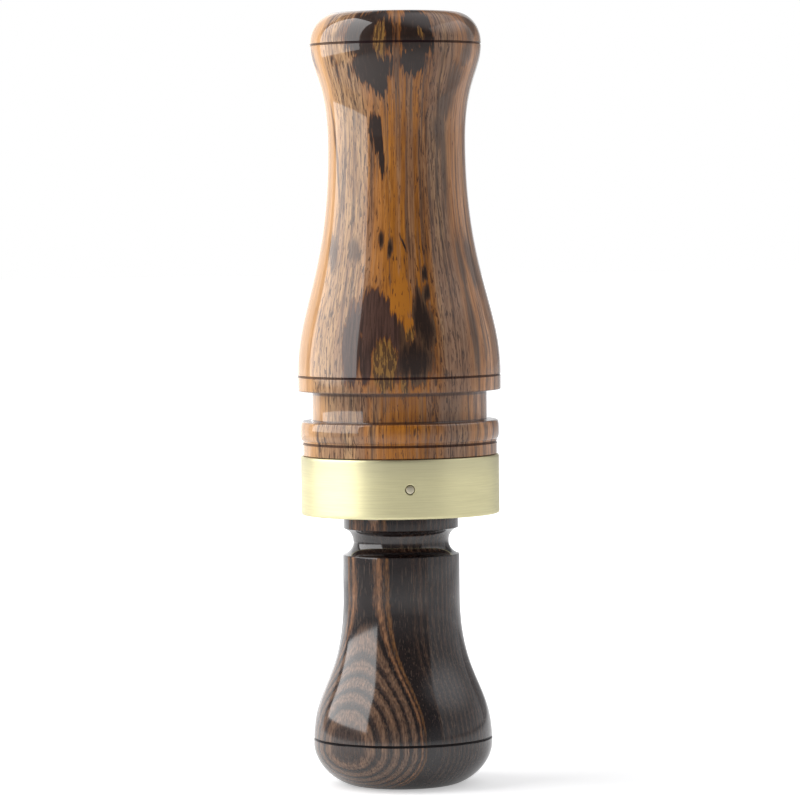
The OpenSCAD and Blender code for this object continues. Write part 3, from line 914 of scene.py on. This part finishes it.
def softbox(name, side, far, middle, width, height, radiance):
    """An upright lamp that faces the axis, with its middle at a height"""
    data = bpy.data.lights.new(name, "AREA")
    data.shape = "RECTANGLE"
    data.size = width
    data.size_y = height
    data.energy = radiance * math.pi * width * height
    lamp = bpy.data.objects.new(name, data)
    bpy.context.scene.collection.objects.link(lamp)
    lamp.location = round_axis(side, far, middle)
    facing = Vector((0, 0, middle)) - lamp.location
    lamp.rotation_euler = facing.to_track_quat("-Z", "Y").to_euler()
    lamp.visible_camera = False
    return lamp


def graded(lamp, low):
    """Dims a lamp towards its lower edge, down to a share of its light"""
    cloth = Finish(lamp.name, lamp.data)
    height = cloth.axis(cloth.node("NewGeometry", output="Parametric"), "Y")
    strength = low + (1 - low) * height.above(0, 1)
    cloth.close(cloth.node("Emission", values={"Strength": strength}), "OutputLight")


def make_floor():
    """A white table that glows a little in the call's reflections, and to the camera, more so away
    from the call"""
    bpy.ops.object.select_all(action="DESELECT")
    bpy.ops.mesh.primitive_circle_add(vertices=96, radius=6, fill_type="NGON", location=(0, 0, 0))
    floor = end(begin("floor"))
    finish = Finish("white table")
    seen = finish.node("LightPath", output="Is Camera Ray")
    mirrored = finish.node("LightPath", output="Is Glossy Ray")
    away = finish.vectors("LENGTH", finish.place(), output="Value")
    glow = seen * (0.45 + 0.55 * away.above(60, 400)) + mirrored * 0.16
    paper = finish.node("BsdfDiffuse", values={"Color": (0.8, 0.8, 0.8)})
    light = finish.node("Emission", values={"Color": (1, 1, 1), "Strength": glow})
    finish.close(finish.node("AddShader", values={0: paper, 1: light}))
    floor.data.materials.append(finish.owner)


def make_room():
    """A grey room, paler towards the table's height and a ceiling lamp on the right, that the camera
    sees as white"""
    world = bpy.data.worlds.new("studio")
    bpy.context.scene.world = world
    room = Finish("studio", world)
    seen = room.node("LightPath", output="Is Camera Ray")
    view = room.node("TexCoord", output="Generated")
    rise = math.radians(60)
    lamp = tuple(round_axis(95, math.cos(rise), math.sin(rise)))
    towards = room.vectors("DOT_PRODUCT", view, lamp, output="Value")
    glow = 0.13 + 0.16 * room.axis(view, "Z").above(0.3, 0.02) + 0.9 * towards.above(0.66, 0.98)
    grey = room.node("Background", values={"Color": (0.97, 0.97, 1.0), "Strength": glow})
    white = room.node("Background", values={"Color": (1, 1, 1), "Strength": 1.0})
    room.close(room.node("MixShader", values={0: seen, 1: grey, 2: white}), "OutputWorld")


def make_camera():
    data = bpy.data.cameras.new("photo camera")
    data.lens = CAMERA_LENS
    data.sensor_width = CAMERA_SENSOR
    data.shift_x = CAMERA_SHIFT
    data.clip_start = 0.01
    data.clip_end = 30
    camera = bpy.data.objects.new("photo camera", data)
    bpy.context.scene.collection.objects.link(camera)
    camera.location = round_axis(0, CAMERA_FAR * MM, CAMERA_HEIGHT * MM)
    aim = Vector((0, 0, CAMERA_AIM * MM)) - camera.location
    turn = aim.to_track_quat("-Z", "Y")
    turn.rotate(Quaternion(aim.normalized(), CAMERA_ROLL))
    camera.rotation_euler = turn.to_euler()
    bpy.context.scene.camera = camera


make_floor()
make_room()
make_camera()
graded(softbox("left window", side=-83.5, far=0.343, middle=0.448, width=0.489, height=0.78,
               radiance=4.05), low=0.7)
softbox("left rear window", side=-152, far=0.5, middle=0.3, width=0.44, height=0.6, radiance=0.8)
graded(softbox("right window", side=92, far=0.36, middle=0.25, width=0.6, height=0.46,
               radiance=0.68), low=0.35)
softbox("backdrop", side=-178, far=0.9, middle=0.3, width=0.7, height=0.6, radiance=0.5)

bpy.context.scene.view_settings.view_transform = "Standard"
